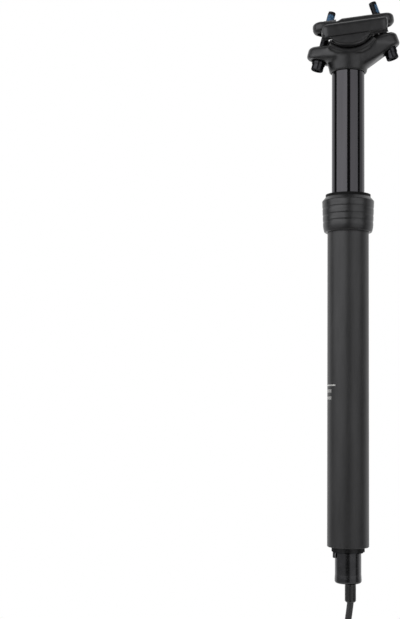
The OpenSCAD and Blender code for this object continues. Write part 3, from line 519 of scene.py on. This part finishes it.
def threadTree():
    tree = bpy.data.node_groups.new("woundThread", "GeometryNodeTree")
    for label, kind in (("Radius", "Float"), ("Ridge", "Float"), ("Length", "Float"), ("Turns", "Float"),
                        ("Steps", "Int"), ("Sides", "Int"), ("Finish", "Material")):
        tree.interface.new_socket(label, in_out="INPUT", socket_type="NodeSocket" + kind)
    tree.interface.new_socket("Geometry", in_out="OUTPUT", socket_type="NodeSocketGeometry")
    given = addNode(tree, "NodeGroupInput")
    coil = addNode(tree, "GeometryNodeCurveSpiral", None, {
        "Resolution": given.outputs["Steps"], "Rotations": given.outputs["Turns"],
        "Start Radius": given.outputs["Radius"], "End Radius": given.outputs["Radius"],
        "Height": given.outputs["Length"]})
    ridge = addNode(tree, "GeometryNodeCurvePrimitiveCircle", None, {
        "Resolution": given.outputs["Sides"], "Radius": given.outputs["Ridge"]})
    thread = addNode(tree, "GeometryNodeCurveToMesh", {"Fill Caps": True},
                     {"Curve": coil.outputs["Curve"], "Profile Curve": ridge.outputs["Curve"]})
    real = addNode(tree, "GeometryNodeRealizeInstances", None, {"Geometry": thread.outputs["Mesh"]})
    dressed = addNode(tree, "GeometryNodeSetMaterial", None,
                      {"Geometry": real.outputs["Geometry"], "Material": given.outputs["Finish"]})
    addNode(tree, "NodeGroupOutput", None, {"Geometry": dressed.outputs["Geometry"]})
    return tree


def grownMesh(name, tree, values):
    # runs a Geometry Nodes tree on an empty mesh and gives back the plain result
    grower = bpy.data.objects.new(name, bpy.data.meshes.new(name))
    scene.collection.objects.link(grower)
    growth = grower.modifiers.new(name, "NODES")
    growth.node_group = tree
    for socket in tree.interface.items_tree:
        if socket.in_out == "INPUT":
            growth[socket.identifier] = values[socket.name]
    mesh = bakedMesh(grower)
    grower.modifiers.clear()
    bpy.data.objects.remove(grower)
    return mesh


def inPatch(point, end, s):
    # true where the locking patch lies, with a ragged edge
    x, y, z = point
    ragged = noise.noise(Vector((x, y, z * s["raggedRise"] + s["seed"]))) * s["ragged"]
    turn = (math.degrees(math.atan2(y, x)) - patchFacing[end] + 180) % 360 - 180
    low, high = s["patch"]
    return low + ragged < z < high + ragged and abs(turn) < s["patchSpread"] + s["raggedTurn"] * ragged


def makeBolt(end, s):
    line = boltLine[end]
    along = Vector(line["along"]).normalized()
    across = Vector((along.z, 0, -along.x))
    stand = Matrix((across, along.cross(across), along)).transposed().to_4x4()
    stand.translation = Vector(line["seat"])
    stand = Matrix.Diagonal((mm, mm, mm, 1)) @ stand
    long = s["end"] - s["tipBevel"] - s["threadFrom"]
    thread = grownMesh("woundThread", threads, {
        "Radius": s["root"], "Ridge": s["crest"] - s["root"], "Length": long, "Turns": long / s["pitch"],
        "Steps": s["steps"], "Sides": s["ridgeSides"], "Finish": finish["blackOxideSteel"]})
    thread.transform(Matrix.Translation((0, 0, s["threadFrom"])))
    body = mergedCopy(end + "_bolt")
    body.transform(stand.inverted())
    work = bmesh.new()
    work.from_mesh(body)
    for vertex in work.verts:
        if vertex.co.z > s["shankFrom"] and abs(vertex.co.xy.length - s["shank"]) < s["shankNear"]:
            vertex.co.xy *= s["root"] / s["shank"]
    # the shank is cut into rings, so that the patch can lie on part of it
    low, high = s["patch"][0] - s["patchMargin"], s["patch"][1] + s["patchMargin"]
    for ring in range(s["rings"] + 1):
        bmesh.ops.bisect_plane(work, geom=work.verts[:] + work.edges[:] + work.faces[:],
                               plane_co=(0, 0, low + (high - low) * ring / s["rings"]), plane_no=(0, 0, 1))
    work.normal_update()
    for face in work.faces:
        face.smooth = False
        upright = abs(face.normal.z) < s["wallSlope"]
        face.material_index = 1 if upright and inPatch(face.calc_center_median(), end, s) else 0
    for vertex in work.verts:
        if all(face.material_index == 1 for face in vertex.link_faces):
            lumps = noise.noise(vertex.co * s["filmScale"] + Vector((0, 0, s["seed"])))
            vertex.co.xy *= 1 + s["film"] * (1 + s["filmDrift"] * lumps) / s["root"]
    start = len(work.faces)
    work.from_mesh(thread)
    work.faces.ensure_lookup_table()
    for face in work.faces[start:]:
        face.material_index = 1 if inPatch(face.calc_center_median(), end, s) else 0
        face.smooth = True
    body.materials.clear()
    body.materials.append(finish["blackOxideSteel"])
    body.materials.append(finish["threadLock"])
    work.to_mesh(body)
    work.free()
    body.transform(stand)
    piece = addPiece(end + "BoltThreaded", body, "upper_post")
    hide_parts(end + "_bolt")
    print(end, "bolt threaded:", len(body.polygons), "faces")


threads = threadTree()
for end in boltLine:
    makeBolt(end, boltForm)


# Plunger spring: a merged, smoothly shaded copy of the solid coil
def makeSpring():
    coil = mergedCopy("plunger_spring")
    coil.shade_smooth()
    piece = addPiece("woundSpring", coil, "outer_post", finish["groundSteel"])
    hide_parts("plunger_spring")
    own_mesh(piece)


makeSpring()
print("plunger spring set")


# Insertion mark: a printed line round the front of the tube, with two rows of short strokes under it
markForm = {
    "height": 118.2, "lineWide": 1.05, "reach": 51, "lineSteps": 64, "film": 0.02, "strokeReach": 33, "strokes": 15,
    "strokeWide": 0.7, "strokeHigh": 2.4, "rows": (114.0, 108.8),
}


def markTree():
    tree = bpy.data.node_groups.new("insertionMark", "GeometryNodeTree")
    for label, kind in (("Radius", "Float"), ("Film", "Float"), ("Reach", "Float"), ("Line Steps", "Int"),
                        ("Line Wide", "Float"), ("Stroke Reach", "Float"), ("Strokes", "Int"),
                        ("Stroke Size", "Vector"), ("First Row", "Vector"), ("Second Row", "Vector"),
                        ("Finish", "Material")):
        tree.interface.new_socket(label, in_out="INPUT", socket_type="NodeSocket" + kind)
    tree.interface.new_socket("Geometry", in_out="OUTPUT", socket_type="NodeSocketGeometry")
    given = addNode(tree, "NodeGroupInput")
    shapes = []
    for reach, points in (("Reach", "Line Steps"), ("Stroke Reach", "Strokes")):
        turned = addNode(tree, "ShaderNodeMath", {"operation": "SUBTRACT", 0: math.pi}, {1: given.outputs[reach]})
        double = addNode(tree, "ShaderNodeMath", {"operation": "MULTIPLY", 0: 2.0}, {1: given.outputs[reach]})
        arc = addNode(tree, "GeometryNodeCurveArc", None, {
            "Resolution": given.outputs[points], "Radius": given.outputs["Radius"],
            "Start Angle": turned.outputs["Value"], "Sweep Angle": double.outputs["Value"]})
        shapes.append(arc)
    band = addNode(tree, "GeometryNodeCurvePrimitiveQuadrilateral", None,
                   {"Width": given.outputs["Film"], "Height": given.outputs["Line Wide"]})
    line = addNode(tree, "GeometryNodeCurveToMesh", {"Fill Caps": True},
                   {"Curve": shapes[0].outputs["Curve"], "Profile Curve": band.outputs["Curve"]})
    stroke = addNode(tree, "GeometryNodeMeshCube", None, {"Size": given.outputs["Stroke Size"]})
    facing = addNode(tree, "GeometryNodeInputTangent")
    turn = addNode(tree, "FunctionNodeAlignRotationToVector", {"axis": "Y"}, {"Vector": facing.outputs["Tangent"]})
    spread = addNode(tree, "GeometryNodeInstanceOnPoints", None, {
        "Points": shapes[1].outputs["Curve"], "Instance": stroke.outputs["Mesh"],
        "Rotation": turn.outputs["Rotation"]})
    rows = [addNode(tree, "GeometryNodeTransform", None,
                    {"Geometry": spread.outputs["Instances"], "Translation": given.outputs[row]})
            for row in ("First Row", "Second Row")]
    whole = addNode(tree, "GeometryNodeJoinGeometry")
    for part in (line.outputs["Mesh"], rows[0].outputs["Geometry"], rows[1].outputs["Geometry"]):
        tree.links.new(part, whole.inputs["Geometry"])
    real = addNode(tree, "GeometryNodeRealizeInstances", None, {"Geometry": whole.outputs["Geometry"]})
    dressed = addNode(tree, "GeometryNodeSetMaterial", None,
                      {"Geometry": real.outputs["Geometry"], "Material": given.outputs["Finish"]})
    addNode(tree, "NodeGroupOutput", None, {"Geometry": dressed.outputs["Geometry"]})
    return tree


def printMark(s):
    radius = -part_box("outer_tube")[0][0]
    first, second = ((0, 0, (row - s["height"]) * mm) for row in s["rows"])
    mesh = grownMesh("insertionMark", markTree(), {
        "Radius": radius + s["film"] * mm / 2, "Film": s["film"] * mm, "Reach": math.radians(s["reach"]),
        "Line Steps": s["lineSteps"], "Line Wide": s["lineWide"] * mm,
        "Stroke Reach": math.radians(s["strokeReach"]), "Strokes": s["strokes"],
        "Stroke Size": (s["film"] * mm, s["strokeWide"] * mm, s["strokeHigh"] * mm),
        "First Row": first, "Second Row": second, "Finish": finish["printedInk"]})
    mesh.transform(Matrix.Translation((0, 0, s["height"] * mm)))
    addPiece("insertionMark", mesh, "outer_post", finish["printedInk"])
    print("insertion mark printed:", len(mesh.polygons), "faces")


printMark(markForm)


# Studio: softboxes at both sides of the camera, a card at the right, one softbox overhead, a white sweep behind
# and dark between them
studio = {
    "boxes": {
        "leftSoftbox": {"from": -7, "to": -88, "radiance": 1.42, "high": 1.11, "middle": 0.695},
        "lowLeftSoftbox": {"from": -22, "to": -104, "radiance": 0.3, "high": 0.84, "middle": -0.28},
        "rightSoftbox": {"from": 15, "to": 71, "radiance": 0.95, "high": 1.15, "middle": 0.675},
        "lowRightSoftbox": {"from": 15, "to": 71, "radiance": 0.5, "high": 0.55, "middle": -0.175},
        "sideCard": {"from": 90, "to": 118, "radiance": 0.5, "high": 1.4, "middle": 0.45},
    },
    "top": {"radiance": 0.5, "wide": 1.4, "deep": 1.2, "height": 1.7, "ahead": 0.2},
    "reach": 1.3, "sweep": (0.32, 0.55), "dark": 0.02,
    "floor": {"height": -0.1955, "radius": 0.45, "sides": 96, "colour": "e8e8e6", "roughness": 0.9},
}


def hangLight(name, spot, aim, wide, high, radiance):
    # an area light as bright as a surface of that radiance, so its size doesn't change how bright it looks
    light = bpy.data.lights.new(name, "AREA")
    light.shape = "RECTANGLE"
    light.size = wide
    light.size_y = high
    light.energy = radiance * math.pi * wide * high
    box = bpy.data.objects.new(name, light)
    scene.collection.objects.link(box)
    box.matrix_world = Matrix.Translation(spot) @ aim.to_track_quat("-Z", "Y").to_matrix().to_4x4()
    box.visible_camera = False


def placeSoftbox(name, s, reach):
    # from and to are bearings seen from the post, in degrees right of the camera
    half = math.radians(abs(s["to"] - s["from"]) / 2)
    bearing = math.radians((s["to"] + s["from"]) / 2 + cameraSetup["azimuth"])
    out = Vector((math.sin(bearing), -math.cos(bearing), 0))
    hangLight(name, out * reach + Vector((0, 0, s["middle"])), -out, 2 * reach * math.tan(half), s["high"],
              s["radiance"])


def makeWorld(s):
    world = bpy.data.worlds.new("studioWorld")
    scene.world = world
    world.use_nodes = True
    tree = world.node_tree
    tree.nodes.clear()
    place = addNode(tree, "ShaderNodeTexCoord")
    parts = addNode(tree, "ShaderNodeSeparateXYZ", None, {"Vector": place.outputs["Generated"]})
    flat = addNode(tree, "ShaderNodeCombineXYZ", None, {"X": parts.outputs["X"], "Y": parts.outputs["Y"]})
    level = addNode(tree, "ShaderNodeVectorMath", {"operation": "NORMALIZE"}, {0: flat.outputs["Vector"]})
    heading = addNode(tree, "ShaderNodeSeparateXYZ", None, {"Vector": level.outputs["Vector"]})
    sweep = addNode(tree, "ShaderNodeMapRange",
                    {"From Min": s["sweep"][0], "From Max": s["sweep"][1], "To Min": s["dark"], "To Max": 1.0},
                    {"Value": heading.outputs["Y"]})
    around = addNode(tree, "ShaderNodeBackground", {"Color": (1, 1, 1, 1)}, {"Strength": sweep.outputs["Result"]})
    white = addNode(tree, "ShaderNodeBackground", {"Color": (1, 1, 1, 1), "Strength": 1.0})
    # the camera sees white all round, and shiny surfaces see it where the sweep stands
    path = addNode(tree, "ShaderNodeLightPath")
    shiny = addNode(tree, "ShaderNodeMath", {"operation": "MAXIMUM"},
                    {0: path.outputs["Is Glossy Ray"], 1: path.outputs["Is Transmission Ray"]})
    shown = addNode(tree, "ShaderNodeMath", {"operation": "MULTIPLY"},
                    {0: shiny.outputs["Value"], 1: sweep.outputs["Result"]})
    seen = addNode(tree, "ShaderNodeMath", {"operation": "MAXIMUM"},
                   {0: path.outputs["Is Camera Ray"], 1: shown.outputs["Value"]})
    mix = addNode(tree, "ShaderNodeMixShader", None, {
        0: seen.outputs["Value"], 1: around.outputs["Background"], 2: white.outputs["Background"]})
    addNode(tree, "ShaderNodeOutputWorld", None, {"Surface": mix.outputs["Shader"]})


def makeFloor(s):
    sides = range(s["sides"])
    corners = [(math.cos(a) * s["radius"], math.sin(a) * s["radius"], s["height"])
               for a in (math.tau * i / s["sides"] for i in sides)]
    mesh = bpy.data.meshes.new("studioFloor")
    mesh.from_pydata(corners, [], [tuple(sides)])
    material = bpy.data.materials.new("paperFloor")
    material.use_nodes = True
    shader = material.node_tree.nodes["Principled BSDF"]
    shader.inputs["Base Color"].default_value = hexToLinear(s["colour"])
    shader.inputs["Roughness"].default_value = s["roughness"]
    mesh.materials.append(material)
    floor = bpy.data.objects.new("studioFloor", mesh)
    scene.collection.objects.link(floor)


for name, settings in studio["boxes"].items():
    placeSoftbox(name, settings, studio["reach"])
top = studio["top"]
hangLight("topSoftbox", Vector((0, -top["ahead"], top["height"])), Vector((0, 0, -1)), top["wide"], top["deep"],
          top["radiance"])
makeWorld(studio)
makeFloor(studio["floor"])
print("studio set")
